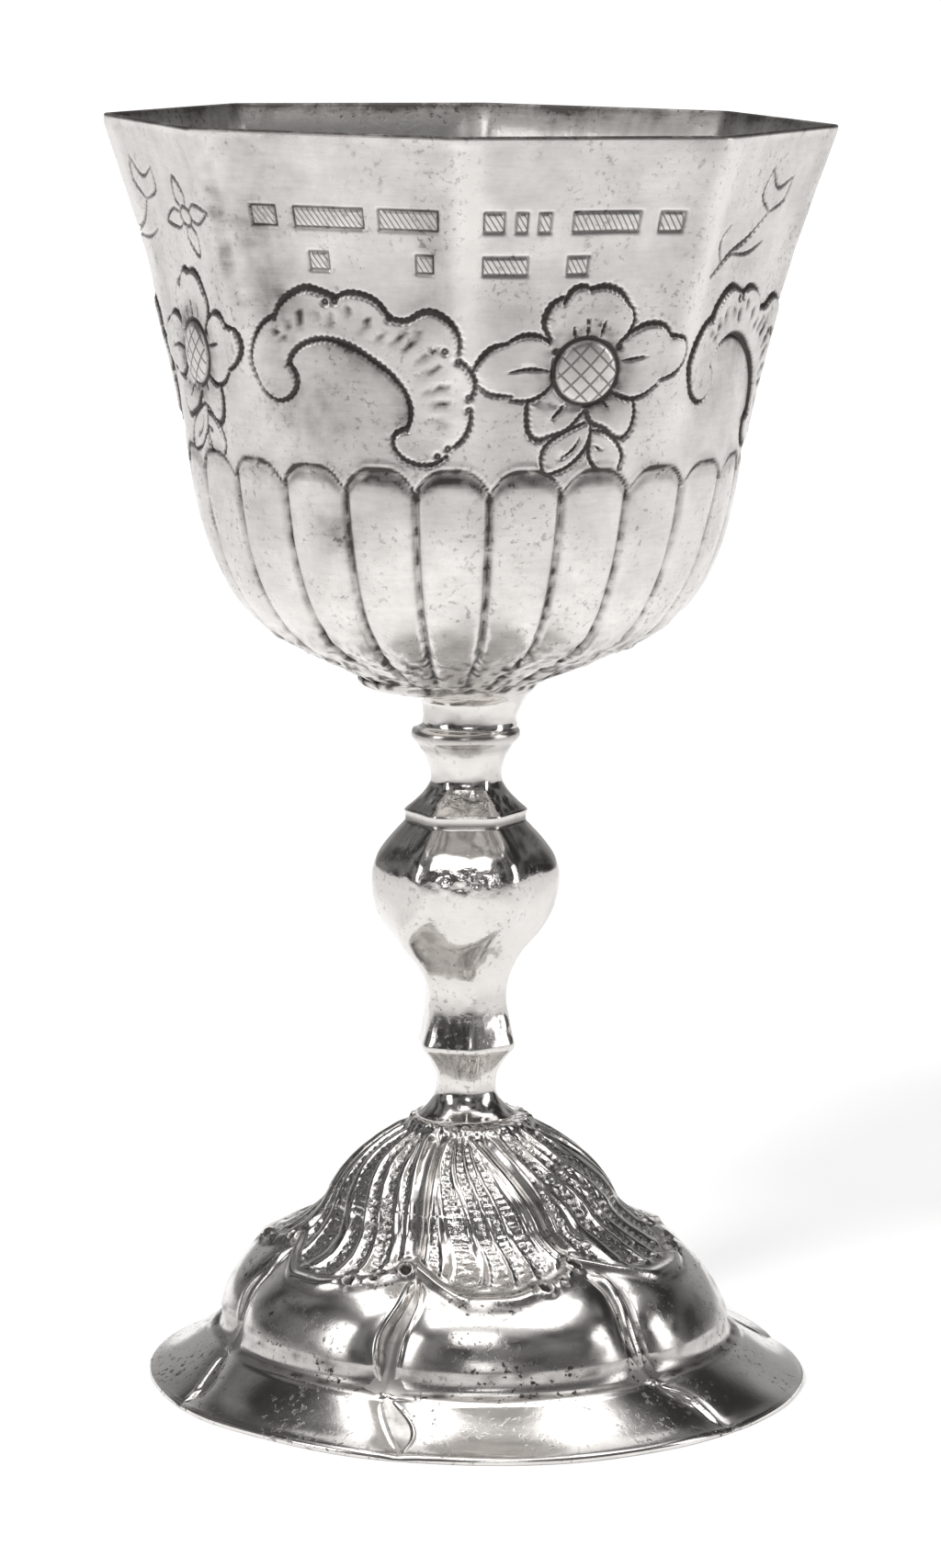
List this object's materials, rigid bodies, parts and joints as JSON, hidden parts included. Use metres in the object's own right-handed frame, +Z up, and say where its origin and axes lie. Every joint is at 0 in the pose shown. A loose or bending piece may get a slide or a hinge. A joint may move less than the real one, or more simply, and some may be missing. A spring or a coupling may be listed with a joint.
{
  "type": "kiddush cup",
  "caption": "Silver footed wine goblet: flaring eight-sided bowl with gadroons and chased flowers and scrolls, faceted baluster stem, domed lobed foot.",
  "frame": {"origin": "on the surface that the cup stands on, under the middle of its rim", "axes": "+Z up through the stem; -Y towards the side with the broad lobe of the foot and the bowl's front edge"},
  "size_m": [0.0777, 0.0778, 0.1364],
  "materials": {
    "bowl_silver": "satin silver with fine scratches and dark oxide in the chased lines",
    "stem_silver": "polished cast silver",
    "foot_silver": "polished silver with dark oxide between the ribs and in the creases"
  },
  "bodies": {
    "root": {"bowl": "bowl_silver", "stem": "stem_silver", "foot": "foot_silver"}
  },
  "joints": []
}
